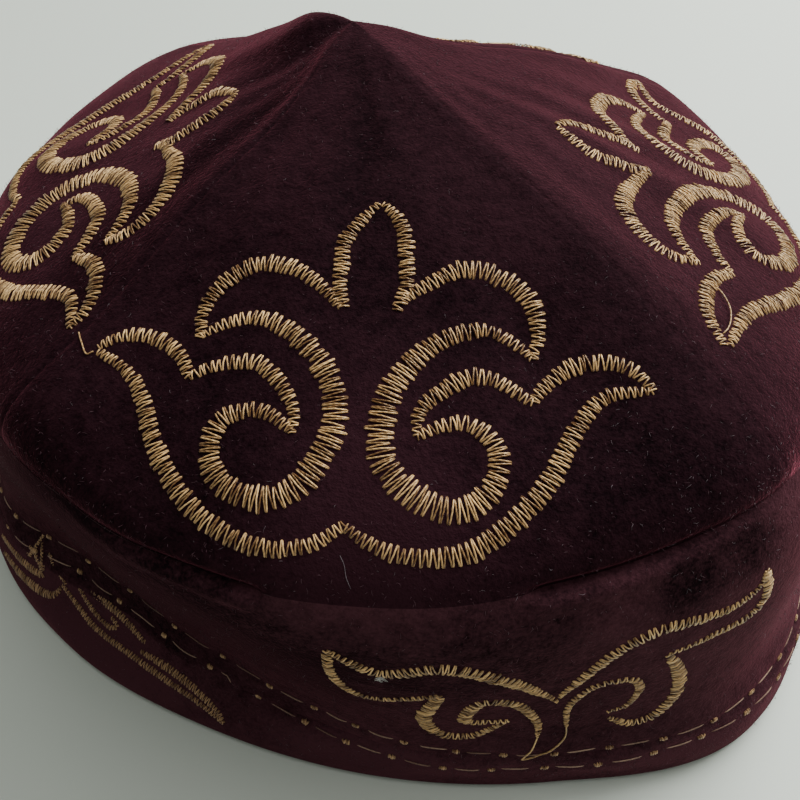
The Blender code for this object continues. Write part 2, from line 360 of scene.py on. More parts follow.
def relief(down, angle):
    """How far the velvet stands proud of the plain shape, in mm.

    Each seam and stitch row is a bell-shaped groove, with lower bell shapes for the shoulders, the
    lip and the pressed lines beside it. Wider bell shapes fill the hem and its roll. Sine ripples
    give the cloth its slight unevenness.
    """
    radius, _ = crown_point(np.clip(down, TIP, SEAM), angle)
    ridge_gap = radius * np.sin(np.radians(HALF_GORE - np.abs(gore_angle(angle))))
    on_crown = smooth_step((SEAM - down) / RIDGE_FADE_AT_SEAM)
    on_crown = on_crown * smooth_step((down - RIDGE_FREE_SHARE) / RIDGE_FADE_AT_PEAK)
    shoulder = (ridge_gap - RIDGE_SHOULDER_PLACE) / RIDGE_SHOULDER_REACH
    rise = RIDGE_SHOULDER_HEIGHT * np.exp(-(shoulder**2))
    rise = rise - RIDGE_GROOVE_DEPTH * np.exp(-((ridge_gap / RIDGE_GROOVE_REACH) ** 2))
    turn = gap_turn(angle, PRESSED_LINES_RIDGE)
    past_ridge = (turn > 0.0) & (turn < HALF_GORE)
    for place, height, reach in PRESSED_LINES:
        rise = rise + past_ridge * height * np.exp(-(((ridge_gap - place) / reach) ** 2))
    rise = rise * on_crown
    seam_gap = np.linalg.norm(cap_point(down, angle) - cap_point(np.full_like(down, SEAM), angle), axis=-1)
    seam_gap = np.where(down < SEAM, -seam_gap, seam_gap)
    creased = np.zeros_like(angle)
    for sharp_end, faded_end in SEAM_CREASES:
        turn = gap_turn(angle, sharp_end) * np.sign(faded_end - sharp_end)
        fading = 1.0 - smooth_step(turn / abs(faded_end - sharp_end))
        creased = np.maximum(creased, smooth_step(turn / SEAM_CREASE_FADE) * fading**SEAM_CREASE_TAPER)
    rise = rise - SEAM_CREASE_DEPTH * creased * np.exp(-((seam_gap / SEAM_CREASE_REACH) ** 2))
    rise = rise + SEAM_LIP_HEIGHT * creased * np.exp(-(((seam_gap - SEAM_LIP_PLACE) / SEAM_LIP_REACH) ** 2))
    low = below_line(down, angle)
    for row in (upper_row(angle), lower_row(angle)):
        pull = 1.0 + STITCH_PULL * np.sin(np.radians(angle * STITCH_PULLS_ROUND) + row)
        rise = rise - STITCH_PINCH_DEPTH * pull * np.exp(-(((low - row) / STITCH_PINCH_REACH) ** 2))
    rolled = np.exp(-((gap_turn(angle, ROLL_MIDDLE) / ROLL_REACH) ** 4))
    rise = rise + HEM_FULLNESS * np.exp(-((low / HEM_FULLNESS_REACH) ** 2))
    roll_reach = np.where(low < 0.0, ROLL_REACH_UP, ROLL_REACH_DOWN)
    rise = rise + ROLL_FULLNESS * rolled * np.exp(-((low / roll_reach) ** 2))
    fade = np.clip((down - RIPPLE_FREE_SHARE) / RIPPLE_FADE_AT_PEAK, 0.0, 1.0)
    fade = fade * np.clip((FOOT - down) / RIPPLE_FADE_AT_FOOT, 0.0, 1.0)
    return rise + CLOTH_RIPPLE * fade * wave_noise(down, angle, RIPPLE_WAVES, RIPPLE_SEED)


def velvet_point(down, angle):
    """A place on the finished velvet: the plain face moved by its relief along its normal."""
    down, angle = np.broadcast_arrays(np.asarray(down, float), np.asarray(angle, float))
    return cap_point(down, angle) + relief(down, angle)[..., None] * cap_normal(down, angle)


# Meshes

def new_object(name, points, faces, materials, sharp_degrees=None):
    """A mesh object from points in mm and faces, with its materials, shaded smooth."""
    mesh = bpy.data.meshes.new(name)
    metres = np.asarray(points).reshape(-1, 3) * MILLIMETRE
    mesh.from_pydata(metres.tolist(), [], np.asarray(faces).tolist())
    for material in materials:
        mesh.materials.append(material)
    mesh.shade_smooth()
    if sharp_degrees:
        mesh.set_sharp_from_angle(angle=math.radians(sharp_degrees))
    made = bpy.data.objects.new(name, mesh)
    bpy.context.scene.collection.objects.link(made)
    return made


def grid_faces(rows, columns, close_rows=False, close_columns=False):
    """Four-sided faces of a grid of points, row by row, which may close on itself either way."""
    index = np.arange(rows * columns).reshape(rows, columns)
    if close_rows:
        index = np.concatenate([index, index[:1]], axis=0)
    if close_columns:
        index = np.concatenate([index, index[:, :1]], axis=1)
    corners = (index[:-1, :-1], index[1:, :-1], index[1:, 1:], index[:-1, 1:])
    return np.stack(corners, axis=-1).reshape(-1, 4)


def add_uv(mesh, name, values):
    """A UV map whose value at each face corner is its point's value."""
    corner_point = np.empty(len(mesh.loops), dtype=np.int32)
    mesh.loops.foreach_get("vertex_index", corner_point)
    layer = mesh.uv_layers.new(name=name)
    layer.data.foreach_set("uv", np.asarray(values, dtype=np.float32)[corner_point].ravel())


# Materials

# Sheen weights. The gores are copies of one velvet whose sheen weights differ so that the right gore reads
# lit and the left one shaded: painted light and shade.
FRONT_SHEEN = 0.44
RIGHT_SHEEN = 0.98
BACK_SHEEN = 0.70
LEFT_SHEEN = 0.32
BAND_SHEEN = 0.17
VELVET_SHEEN_ROUGHNESS = 0.34
VELVET_SHEEN_TINT = (0.62, 0.15, 0.22)
VELVET_BUMP = 0.0007
TWISTS_A_MM = 1.1
STRANDS = 2
THREAD_BUMP = 0.00004
WEAVE_TURNS_A_METRE = 9000.0

# Patterns in the pile: its lie, its pressed flecks and its tufts, with scale, detail and roughness
BRUSHED = (40.0, 3.0, 0.6)
FLECKS = (420.0, 3.0, 0.7)
TUFTS = (1700.0, 2.0, 0.7)


def node(tree, kind, **sockets):
    """A shader node with values or links for its inputs, named with _ for a space."""
    made = tree.nodes.new(kind)
    for key, value in sockets.items():
        target = made.inputs[key.replace("_", " ")] if isinstance(key, str) else made.inputs[key]
        if isinstance(value, bpy.types.NodeSocket):
            tree.links.new(value, target)
        else:
            target.default_value = value
    return made


def math_node(tree, operation, first, second):
    """A maths node of two values or links."""
    made = tree.nodes.new("ShaderNodeMath")
    made.operation = operation
    for socket, value in zip(made.inputs, (first, second)):
        if isinstance(value, bpy.types.NodeSocket):
            tree.links.new(value, socket)
        else:
            socket.default_value = value
    return made.outputs[0]


def weighted_sum(tree, *parts):
    """The sum of several values, each times its share."""
    total = None
    for value, share in parts:
        term = math_node(tree, "MULTIPLY", value, share)
        total = term if total is None else math_node(tree, "ADD", total, term)
    return total


def ramp(tree, factor, stops):
    """A colour ramp: a list of places and colours."""
    made = tree.nodes.new("ShaderNodeValToRGB")
    tree.links.new(factor, made.inputs[0])
    elements = made.color_ramp.elements
    while len(elements) < len(stops):
        elements.new(0.5)
    for element, (place, colour) in zip(elements, stops):
        element.position = place
        element.color = (*colour, 1.0)
    return made.outputs[0]


def start_material(name):
    """A new material with its node tree and its main shader."""
    material = bpy.data.materials.new(name)
    material.use_nodes = True
    tree = material.node_tree
    return material, tree, tree.nodes["Principled BSDF"]


def noise(tree, place, scale, detail=2.0, roughness=0.5):
    """A noise pattern's strength at a place."""
    made = node(tree, "ShaderNodeTexNoise", Vector=place, Scale=scale, Detail=detail, Roughness=roughness)
    return made.outputs[0]


def make_velvet(name, shade, tone, sheen):
    """Cut-pile velvet.

    The pile is dark seen square on and glows at a slant, through the shader's sheen. Broad noise
    is where the pile lies brushed one way or the other, middling noise its pressed flecks, and
    fine noise the tufts, which also roughen the surface as a bump. The panel's painted light map
    darkens and lightens the base colour in patches, as painted shade and painted light.
    """
    material, tree, shader = start_material(name)
    place = tree.nodes.new("ShaderNodeTexCoord").outputs["Object"]
    painted_light_map = node(tree, "ShaderNodeUVMap")
    painted_light_map.uv_map = "painted_light"
    painted_lightness = node(tree, "ShaderNodeSeparateXYZ", Vector=painted_light_map.outputs[0]).outputs[0]
    brushed, flecks, tufts = (noise(tree, place, *pattern) for pattern in (BRUSHED, FLECKS, TUFTS))
    mixed = weighted_sum(tree, (brushed, 0.30), (flecks, 0.35), (tufts, 0.35))
    # Painted light and shade: the panel's map lifts or lowers the base colour in patches
    mixed = math_node(tree, "ADD", mixed, painted_lightness)
    colour = ramp(tree, mixed, ((0.36, shade), (0.66, tone)))
    tree.links.new(colour, shader.inputs["Base Color"])
    shader.inputs["Roughness"].default_value = 0.9
    shader.inputs["Specular IOR Level"].default_value = 0.02
    shader.inputs["Sheen Weight"].default_value = sheen
    shader.inputs["Sheen Roughness"].default_value = VELVET_SHEEN_ROUGHNESS
    shader.inputs["Sheen Tint"].default_value = (*VELVET_SHEEN_TINT, 1.0)
    height = weighted_sum(tree, (tufts, 0.5), (flecks, 0.6))
    bump = node(tree, "ShaderNodeBump", Height=height, Strength=0.6, Distance=VELVET_BUMP)
    tree.links.new(bump.outputs[0], shader.inputs["Normal"])
    return material


def make_gold_thread(name, shade, light, roughness=0.34):
    """Glossy twisted thread.

    The thread's own map runs along it in mm and once round it. Slanting sine ridges across both
    are its twist, and a value for each stitch shifts its tone.
    """
    material, tree, shader = start_material(name)
    thread_map = node(tree, "ShaderNodeUVMap")
    thread_map.uv_map = "thread"
    tone_map = node(tree, "ShaderNodeUVMap")
    tone_map.uv_map = "tone"
    along = node(tree, "ShaderNodeSeparateXYZ", Vector=thread_map.outputs[0])
    tone = node(tree, "ShaderNodeSeparateXYZ", Vector=tone_map.outputs[0]).outputs[0]
    lengthwise = math_node(tree, "MULTIPLY", along.outputs[0], TWISTS_A_MM * 2.0 * math.pi)
    roundwise = math_node(tree, "MULTIPLY", along.outputs[1], 2.0 * math.pi * STRANDS)
    turn = math_node(tree, "ADD", lengthwise, roundwise)
    twist = math_node(tree, "SINE", turn, 0.0)
    place = tree.nodes.new("ShaderNodeTexCoord").outputs["Object"]
    wear = noise(tree, place, 700.0, 3.0, 0.6)
    mixed = weighted_sum(tree, (tone, 0.5), (wear, 0.5), (twist, 0.07))
    colour = ramp(tree, mixed, ((0.28, shade), (0.76, light)))
    tree.links.new(colour, shader.inputs["Base Color"])
    shader.inputs["Roughness"].default_value = roughness
    shader.inputs["Specular IOR Level"].default_value = 0.7
    shader.inputs["Specular Tint"].default_value = (1.0, 0.82, 0.55, 1.0)
    shader.inputs["Sheen Weight"].default_value = 0.1
    bump = node(tree, "ShaderNodeBump", Height=twist, Strength=0.4, Distance=THREAD_BUMP)
    tree.links.new(bump.outputs[0], shader.inputs["Normal"])
    return material


def make_lining(name):
    """Dull woven cotton: a fine check of two sine waves over a noise of worn and darker places."""
    material, tree, shader = start_material(name)
    place = tree.nodes.new("ShaderNodeTexCoord").outputs["Object"]
    axes = node(tree, "ShaderNodeSeparateXYZ", Vector=place)
    turns = [math_node(tree, "MULTIPLY", axes.outputs[k], WEAVE_TURNS_A_METRE) for k in (0, 1, 2)]
    threads = [math_node(tree, "SINE", turn, 0.0) for turn in turns]
    weave = math_node(tree, "MULTIPLY", math_node(tree, "ADD", threads[0], threads[1]), threads[2])
    worn = noise(tree, place, 60.0, 4.0, 0.6)
    colour = ramp(tree, worn, ((0.3, (0.030, 0.016, 0.018)), (0.7, (0.060, 0.034, 0.036))))
    tree.links.new(colour, shader.inputs["Base Color"])
    shader.inputs["Roughness"].default_value = 0.9
    shader.inputs["Specular IOR Level"].default_value = 0.2
    bump = node(tree, "ShaderNodeBump", Height=weave, Strength=0.3, Distance=0.0001)
    tree.links.new(bump.outputs[0], shader.inputs["Normal"])
    return material


def make_plain(name, colour, roughness, sheen=0.0):
    """Lint and hair: one colour, shifted a little by noise."""
    material, tree, shader = start_material(name)
    place = tree.nodes.new("ShaderNodeTexCoord").outputs["Object"]
    shift = noise(tree, place, 400.0, 2.0, 0.5)
    dim = tuple(0.6 * part for part in colour)
    tree.links.new(ramp(tree, shift, ((0.3, dim), (0.7, colour))), shader.inputs["Base Color"])
    shader.inputs["Roughness"].default_value = roughness
    shader.inputs["Sheen Weight"].default_value = sheen
    return material


# Velvet panels

GORE_COLUMNS = 112
GORE_ROWS = 96
BAND_COLUMNS = 500
WALL_ROWS = 74
HEM_ROWS = 32
SHARP_DEGREES = 50.0

# The hem's sole: a point of its rounded lip, in mm in from the foot and up from the table, and the
# height at which the flat cloth lies
SOLE_LIP_IN = 0.45
SOLE_LIP_UP = 0.7
SOLE_CLEAR = 0.06

# Painted light and shade: where the velvet's base colour is made darker or lighter, standing in for shaded
# and lit places
# place down, degrees round, reach in mm, how much lighter
PAINTED_LIGHT_PATCHES = (
    (1.11, 32.0, 5.0, -0.20),
    (1.09, 39.5, 4.5, -0.20),
    (0.86, 20.5, 2.5, 0.08),
    (0.80, 34.0, 9.0, -0.10),
    (1.15, 26.0, 8.0, 0.12),
    (1.12, 44.0, 9.0, 0.12),
    (1.30, -4.0, 20.0, -0.20),
    (1.40, -38.0, 26.0, -0.26),
    (1.45, 40.0, 12.0, 0.05),
    (0.45, 62.0, 14.0, 0.07),
    (0.40, -62.0, 18.0, -0.22),
    (0.30, 0.0, 20.0, -0.10),
    (0.90, 0.0, 16.0, 0.26),
    (0.60, -70.0, 16.0, 0.18),
    (1.50, 62.0, 24.0, 0.20),
    (2.60, -45.0, 26.0, 0.36),
    (2.60, 5.0, 26.0, 0.22),
    (2.55, 40.0, 18.0, 0.22),
)
PAINTED_LIGHT_MM_DOWN = 55.0
PAINTED_LIGHT_MM_ROUND = 1.4


def painted_light(down, angle):
    """How much lighter the base colour is painted than plain, as painted light and shade: a bell shape round
    each patch, on rough mm down and round.
    """
    painted_lightness = np.zeros_like(angle)
    for patch_down, patch_angle, reach, lighter in PAINTED_LIGHT_PATCHES:
        gap = np.hypot(PAINTED_LIGHT_MM_DOWN * (down - patch_down), PAINTED_LIGHT_MM_ROUND * gap_turn(angle, patch_angle))
        painted_lightness = painted_lightness + lighter * np.exp(-((gap / reach) ** 2))
    return painted_lightness


def edge_crowded(count, crowding=0.78):
    """Shares from -1 to 1 that stand closer together towards both ends, from a sine and a straight run."""
    share = np.linspace(-1.0, 1.0, count)
    return crowding * np.sin(0.5 * math.pi * share) + (1.0 - crowding) * share


def gore_rows():
    """Places down a gore, closer together at the seam: a straight run bent by a squared share."""
    share = np.linspace(0.0, 1.0, GORE_ROWS)
    return TIP + (SEAM - TIP) * (1.6 * share - 0.6 * share**2)


def make_gore(name, middle, materials):
    """One gore: an outer and an inner grid over its quarter of the crown, closed round their edges.

    The outer points are the finished velvet's. The inner ones lie a cloth's thickness inside them,
    along the unfolded shape's normal.
    """
    down = gore_rows()[:, None]
    angle = middle + HALF_GORE * edge_crowded(GORE_COLUMNS)[None, :]
    down, angle = np.broadcast_arrays(down, angle)
    outer = velvet_point(down, angle)
    inner = outer - CROWN_CLOTH * cap_normal(np.clip(down, 0.03, SEAM), angle, folded=False)
    count = GORE_ROWS * GORE_COLUMNS
    index = np.arange(count).reshape(GORE_ROWS, GORE_COLUMNS)
    face = grid_faces(GORE_ROWS, GORE_COLUMNS)
    edge = np.concatenate([index[:-1, 0], index[-1, :-1], index[:0:-1, -1], index[0, :0:-1]])
    after = np.roll(edge, -1)
    rim = np.stack([after, edge, edge + count, after + count], axis=-1)
    faces = np.concatenate([face, rim, face[:, ::-1] + count])
    points = np.concatenate([outer.reshape(-1, 3), inner.reshape(-1, 3)])
    gore = new_object(name, points, faces, materials, SHARP_DEGREES)
    lined = np.zeros(len(faces), dtype=np.int32)
    lined[len(face) + len(rim):] = 1
    gore.data.polygons.foreach_set("material_index", lined)
    # Painted light and shade for the base colour, as a map on the gore's points
    painted_lightness = np.tile(painted_light(down, angle).ravel(), 2)
    add_uv(gore.data, "painted_light", np.stack([painted_lightness, painted_lightness], axis=-1))
    return gore


def make_band(materials):
    """The band: its cut section carried round the cap.

    The section runs down the finished velvet to the foot, across the flat sole, and up the lining,
    which lies a cloth's thickness inside the plain face and a doubled one low on the wall.
    """
    angle = np.arange(BAND_COLUMNS)[:, None] * 360.0 / BAND_COLUMNS
    wall = SEAM + 0.5 + 0.5 * edge_crowded(WALL_ROWS, 0.7)
    hem = np.linspace(STITCH_LINE, FOOT, HEM_ROWS)[1:]
    down = np.concatenate([wall, hem])[None, :]
    outer = velvet_point(*np.broadcast_arrays(down, angle))
    turn = np.radians(angle)
    outward = np.stack([np.sin(turn), -np.cos(turn), 0.0 * turn], axis=-1)
    foot = cap_point(np.full_like(angle, FOOT), angle) * np.array([1.0, 1.0, 0.0])
    steps = np.array([SOLE_LIP_IN, HEM_CURL, HEM_CURL + 0.5 * HEM_FLAT_WIDTH, HEM_CURL + HEM_FLAT_WIDTH])
    lift = np.array([SOLE_LIP_UP, SOLE_CLEAR, SOLE_CLEAR, SOLE_CLEAR])
    sole = foot - steps[None, :, None] * outward + lift[None, :, None] * np.array([0.0, 0.0, 1.0])
    inner_down = wall[::-2][None, :]
    face = cap_point(*np.broadcast_arrays(inner_down, angle))
    doubled = 1.0 / (1.0 + np.exp((face[..., 2] - FACING_HEIGHT) / FACING_EDGE))
    cloth = BAND_CLOTH + (HEM_CLOTH - BAND_CLOTH) * doubled
    inner = face - cloth[..., None] * cap_normal(*np.broadcast_arrays(inner_down, angle), folded=False)
    section = np.concatenate([outer, sole, inner], axis=1)
    faces = grid_faces(BAND_COLUMNS, section.shape[1], close_rows=True, close_columns=True)[:, ::-1]
    band = new_object("band_velvet", section, faces, materials, SHARP_DEGREES)
    lined = np.zeros(faces.shape[0], dtype=np.int32).reshape(BAND_COLUMNS, -1)
    lined[:, outer.shape[1] + sole.shape[1] - 1:] = 1
    band.data.polygons.foreach_set("material_index", lined.ravel())
    # Painted light and shade for the outer face's base colour; none on the sole and lining
    painted_lightness = np.zeros(section.shape[:2])
    painted_lightness[:, :outer.shape[1]] = painted_light(*np.broadcast_arrays(down, angle))
    add_uv(band.data, "painted_light", np.stack([painted_lightness.ravel(), painted_lightness.ravel()], axis=-1))
    return band


# Embroidery

# The thread
THREAD_RADIUS = 0.13
STITCH_PITCH = 0.50
STITCH_STATIONS = np.array([0.0, 0.06, 0.5, 0.94, 1.0])
STITCH_ROUND = np.array([0.55, 1.05, 0.95, 1.05, 0.55])
STITCH_PARTING = 0.17
STITCH_SIDES = 6
STITCH_LOFT = 0.17
LOFT_POWER = 0.6
WIDEST_LOFTED = 1.6
STITCH_RISE = 1.2
STITCH_SINK = 0.35
FULLNESS_POWER = 0.62

# How much the hand wanders: shares of the pitch and of the width, and mm of height
PITCH_WANDER = 0.24
WIDTH_WANDER = 0.09
HEIGHT_WANDER = 0.07

# The ram's-horn motif of a gore, charted: mm to the side of the gore's middle line and mm
# down it from the peak. Each stroke begins with its name, then its width at the start, at its
# fullest and at the end, with the share of its length where it is fullest.
HORN_MOTIF = (
    ("leaf right", (1.0, 2.8, 2.1, 0.5),
     ((2.0, 33.5), (4.5, 36.0), (5.5, 39.5), (5.5, 43.5), (5.5, 46.5), (4.0, 50.5))),
    ("leaf left", (1.0, 2.7, 2.1, 0.5),
     ((1.5, 33.5), (-1.0, 36.0), (-4.0, 40.0), (-4.5, 44.0), (-5.0, 47.0), (-4.0, 50.5))),
    ("horn right", (1.1, 3.4, 1.3, 0.5),
     ((4.5, 49.5), (6.0, 48.0), (10.0, 46.0), (13.5, 44.5), (17.5, 44.5), (21.5, 46.0), (25.0, 48.5),
      (26.5, 52.0), (26.5, 55.5), (25.5, 58.5))),
    ("horn left", (1.1, 3.3, 1.3, 0.5),
     ((-4.5, 50.5), (-8.0, 47.5), (-12.5, 45.5), (-17.0, 45.0), (-21.5, 46.5), (-26.0, 50.0), (-28.5, 54.0),
      (-28.5, 59.0))),
    ("spiral right", (1.0, 4.3, 1.4, 0.5),
     ((25.5, 58.5), (23.5, 56.5), (19.0, 54.0), (15.0, 54.0), (11.0, 55.0), (7.0, 58.0), (3.5, 62.5),
      (2.5, 66.5), (2.5, 71.0), (4.0, 74.5), (7.5, 78.0), (12.0, 80.0), (16.0, 80.0), (19.0, 77.5),
      (20.0, 74.0), (18.5, 70.5), (15.0, 68.0), (11.5, 68.0), (7.5, 69.5))),
    ("spiral left", (1.0, 4.2, 1.4, 0.5),
     ((-28.5, 58.5), (-23.5, 55.5), (-19.0, 54.0), (-14.0, 54.5), (-9.5, 57.0), (-6.0, 61.0), (-4.5, 65.0),
      (-4.5, 69.5), (-6.0, 73.5), (-8.5, 77.5), (-12.5, 80.0), (-16.0, 80.5), (-20.5, 79.5), (-23.0, 77.0),
      (-23.5, 74.0), (-22.0, 70.5), (-18.5, 68.5), (-14.5, 68.0), (-10.5, 70.0))),
    ("inner arc right", (1.1, 2.9, 1.5, 0.5),
     ((7.5, 69.5), (8.0, 65.5), (11.0, 63.0), (15.0, 61.0), (19.0, 61.5), (22.5, 63.5), (25.5, 65.5))),
    ("inner arc left", (1.0, 2.7, 1.5, 0.5),
     ((-10.5, 70.5), (-10.5, 67.0), (-13.0, 63.5), (-17.0, 61.0), (-21.0, 61.5), (-25.5, 63.0),
      (-29.5, 65.5))),
    ("wing top right", (1.5, 2.9, 1.1, 0.5),
     ((25.5, 65.5), (27.0, 63.5), (31.0, 61.0), (35.5, 60.5), (40.5, 61.5), (45.0, 64.0), (48.0, 67.5))),
    ("wing top left", (1.5, 2.8, 1.1, 0.5),
     ((-29.5, 65.5), (-32.0, 62.5), (-37.0, 61.0), (-43.5, 61.5), (-49.0, 63.5), (-54.0, 66.5))),
    ("outer line right", (1.1, 3.3, 1.3, 0.5),
     ((48.0, 67.5), (42.5, 66.5), (37.5, 66.5), (34.0, 69.0), (30.5, 73.5), (27.5, 78.0), (22.5, 82.5),
      (17.5, 85.5), (12.0, 86.5), (6.5, 86.0), (2.0, 84.5), (-1.5, 82.5))),
    ("outer line left", (1.1, 3.3, 1.3, 0.5),
     ((-53.5, 67.0), (-46.0, 67.5), (-41.0, 69.0), (-37.5, 72.0), (-34.5, 76.0), (-30.5, 80.0),
      (-26.0, 83.5), (-20.0, 86.0), (-14.0, 87.0), (-10.0, 86.5), (-5.5, 85.0), (-1.5, 82.0))),
)

# How each gore's motif sits: it was guided by hand, so each is a little different
# node, middle angle, shift to the side, width, lean, shift down, tilt, length, fullness of the strokes
GORES = (
    ("crown_front", 0.0, 0.0, 1.0, 0.0, 0.0, 0.0, 1.0, 0.94),
    ("crown_right", 90.0, 1.8, 1.0, 0.33, -2.7, -0.015, 0.95, 1.08),
    ("crown_back", 180.0, -6.0, 0.92, 0.25, -7.0, 0.12, 1.0, 1.05),
    ("crown_left", -90.0, 5.2, 1.10, 0.23, -2.6, 0.08, 1.05, 1.10),
)
MOTIF_MIDDLE = 60.0

# The plant motif of the band, charted: degrees round and the place down the wall. It comes
# once for each quarter of the cap, and at the left it stands back from the rolled hem.
BAND_MOTIF_TURNS = (0.0, 90.0, 180.0, 254.0)
BAND_MOTIF = (
    ("left top", (0.5, 3.3, 0.5, 0.45),
     ((-2.5, 1.18), (2.5, 1.3), (8.0, 1.25), (12.0, 1.29), (16.5, 1.41), (21.0, 1.58))),
    ("left foot", (1.0, 1.9, 1.2, 0.3),
     ((-2.5, 1.18), (-2.5, 1.34), (-1.0, 1.48), (2.0, 1.53), (8.5, 1.45))),
    ("left curl", (0.8, 2.9, 0.8, 0.32),
     ((8.5, 1.45), (7.0, 1.67), (8.5, 1.83), (12.5, 1.85), (16.0, 1.73))),
    ("left inner curl", (0.8, 2.7, 0.4, 0.36),
     ((16.5, 1.72), (12.0, 1.72), (11.5, 1.64), (13.0, 1.53), (16.5, 1.57), (19.5, 1.74), (20.0, 1.86))),
    ("right top", (0.5, 2.7, 0.6, 0.45),
     ((21.0, 1.55), (23.0, 1.41), (25.5, 1.29), (29.0, 1.23), (33.5, 1.25), (37.5, 1.27), (40.0, 1.24),
      (40.5, 1.18))),
    ("right foot", (1.0, 2.2, 0.6, 0.3),
     ((40.5, 1.18), (41.5, 1.31), (40.0, 1.38), (35.5, 1.38), (31.0, 1.38))),
    ("right curl", (0.7, 2.8, 0.8, 0.42),
     ((31.0, 1.38), (33.0, 1.51), (34.5, 1.7), (33.0, 1.83), (30.0, 1.85), (27.5, 1.78))),
    ("right inner curl", (0.8, 1.7, 0.6, 0.4),
     ((27.0, 1.73), (29.0, 1.7), (29.5, 1.58), (28.0, 1.49), (24.5, 1.5), (22.5, 1.63), (23.0, 1.8))),
)
BAND_STEMS = (
    ((20.0, 1.86), (19.5, 1.93), (18.5, 2.00)),
    ((23.0, 1.80), (23.0, 1.88), (21.0, 1.96), (18.5, 2.00)),
)

# The same motif upside down on the turned-out hem at the left of the front: degrees round and place down
HEM_MOTIF = (
    ("stem", (0.5, 1.0, 0.8, 0.5),
     ((-56.0, 1.9), (-55.5, 2.0), (-54.0, 2.09), (-53.0, 2.16), (-50.0, 2.27))),
    ("right edge", (0.9, 1.7, 1.3, 0.5),
     ((-50.5, 2.3), (-46.5, 2.38), (-42.5, 2.44), (-38.0, 2.46), (-34.0, 2.48), (-30.0, 2.51),
      (-26.0, 2.55), (-23.0, 2.61), (-19.5, 2.74))),
    ("right fold", (1.0, 2.1, 1.0, 0.5),
     ((-19.5, 2.74), (-20.5, 2.61), (-23.5, 2.48), (-27.0, 2.41), (-30.5, 2.38), (-34.5, 2.38))),
    ("right curl", (1.0, 1.8, 0.9, 0.5),
     ((-34.5, 2.28), (-38.0, 2.22), (-41.0, 2.19), (-45.5, 2.18), (-48.0, 2.21))),
    ("right inner curl", (0.8, 1.3, 0.9, 0.5),
     ((-48.0, 2.22), (-45.0, 2.3), (-41.0, 2.35), (-39.5, 2.3), (-41.0, 2.26))),
    ("left wing", (1.7, 2.6, 1.0, 0.5),
     ((-61.5, 2.66), (-57.0, 2.63), (-52.0, 2.53), (-50.5, 2.44), (-50.5, 2.33))),
    ("left curl", (1.1, 2.1, 0.8, 0.5),
     ((-63.0, 2.42), (-60.0, 2.41), (-56.5, 2.4), (-54.0, 2.35), (-54.5, 2.27), (-56.0, 2.19),
      (-57.5, 2.13))),
    ("cross stitch", (0.6, 1.0, 0.6, 0.5),
     ((-59.0, 2.07), (-57.5, 1.97), (-56.0, 1.87))),
)

# Single threads left on the cloth, each with its name, its lift and its radius in mm, and its
# path: degrees round and place down
SPARE_THREADS = (
    ("jump_thread", 0.15, 0.13, ((-45.5, 0.650), (-43.5, 0.657), (-41.5, 0.666), (-41.0, 0.658))),
    ("loop_thread", 0.5, 0.12,
     ((59.5, 0.623), (59.0, 0.633), (57.0, 0.647), (55.0, 0.652), (53.0, 0.653), (51.5, 0.650))),
)
STRAY_HAIR = ((-1.4, 0.856), (-0.9, 0.876), (-0.6, 0.907), (-0.1, 0.937))
WHITE_FLUFF = (2.5, 1.328)


def smooth_path(points, count):
    """A smooth curve through charted points, with its steps spread by the points' spacing.

    It is curve_through for each coordinate, read at positions that move evenly along the chart.
    """
    points = np.asarray(points, float)
    spans = np.linalg.norm(np.diff(points / points.std(axis=0), axis=0), axis=1) ** 0.75
    marks = np.concatenate([[0.0], np.cumsum(spans)]) / spans.sum()
    position = np.interp(np.linspace(0.0, 1.0, count), marks, np.arange(len(points)))
    return np.stack([curve_through(points[:, k], position) for k in (0, 1)], axis=-1)


def meridian(middle):
    """Mm from the peak down a gore's middle line, for evenly spaced places down it."""
    down = np.linspace(0.0, SEAM, 401)
    line = cap_point(down, np.full_like(down, middle), folded=False)
    line[0, :2] = -PLAN_CENTRE[:2]
    return down, np.concatenate([[0.0], np.cumsum(np.linalg.norm(np.diff(line, axis=0), axis=1))])


def on_gore(chart, middle, shift, width, lean, fall, tilt, length):
    """Places on a gore for a chart in mm: the chart is set over, leant, tilted and stretched, then read.

    The mm down give the place down the middle line. The angle is the one whose tangent is the mm
    to the side over the middle line's radius there.
    """
    side, low = chart[:, 0], chart[:, 1] - MOTIF_MIDDLE
    side, low = shift + width * side + lean * low, MOTIF_MIDDLE + fall + tilt * side + length * low
    steps, lengths = meridian(middle)
    down = np.interp(low, lengths, steps)
    axis = cap_point(down, np.full_like(down, middle), folded=False) + PLAN_CENTRE
    offset = np.degrees(np.arctan2(side, np.hypot(axis[:, 0], axis[:, 1])))
    return down, middle + np.clip(offset, -43.8, 43.8)


def stroke_frame(down, angle):
    """Along a stroke on the cap: mm travelled, and the change of down and angle per mm sideways.

    Sideways is the cross product of the face's normal and the stroke's direction. It is written in
    the face's two slopes by solving their two-by-two products.
    """
    line = cap_point(down, angle)
    travelled = np.concatenate([[0.0], np.cumsum(np.linalg.norm(np.diff(line, axis=0), axis=1))])
    direction = unit(np.gradient(line, axis=0))
    along, across = slopes(down, angle)
    sideways = unit(np.cross(cap_normal(down, angle), direction))
    aa, ab, bb = (along * along).sum(-1), (along * across).sum(-1), (across * across).sum(-1)
    sa, sb = (sideways * along).sum(-1), (sideways * across).sum(-1)
    size = aa * bb - ab * ab
    return travelled, (sa * bb - sb * ab) / size, (sb * aa - sa * ab) / size


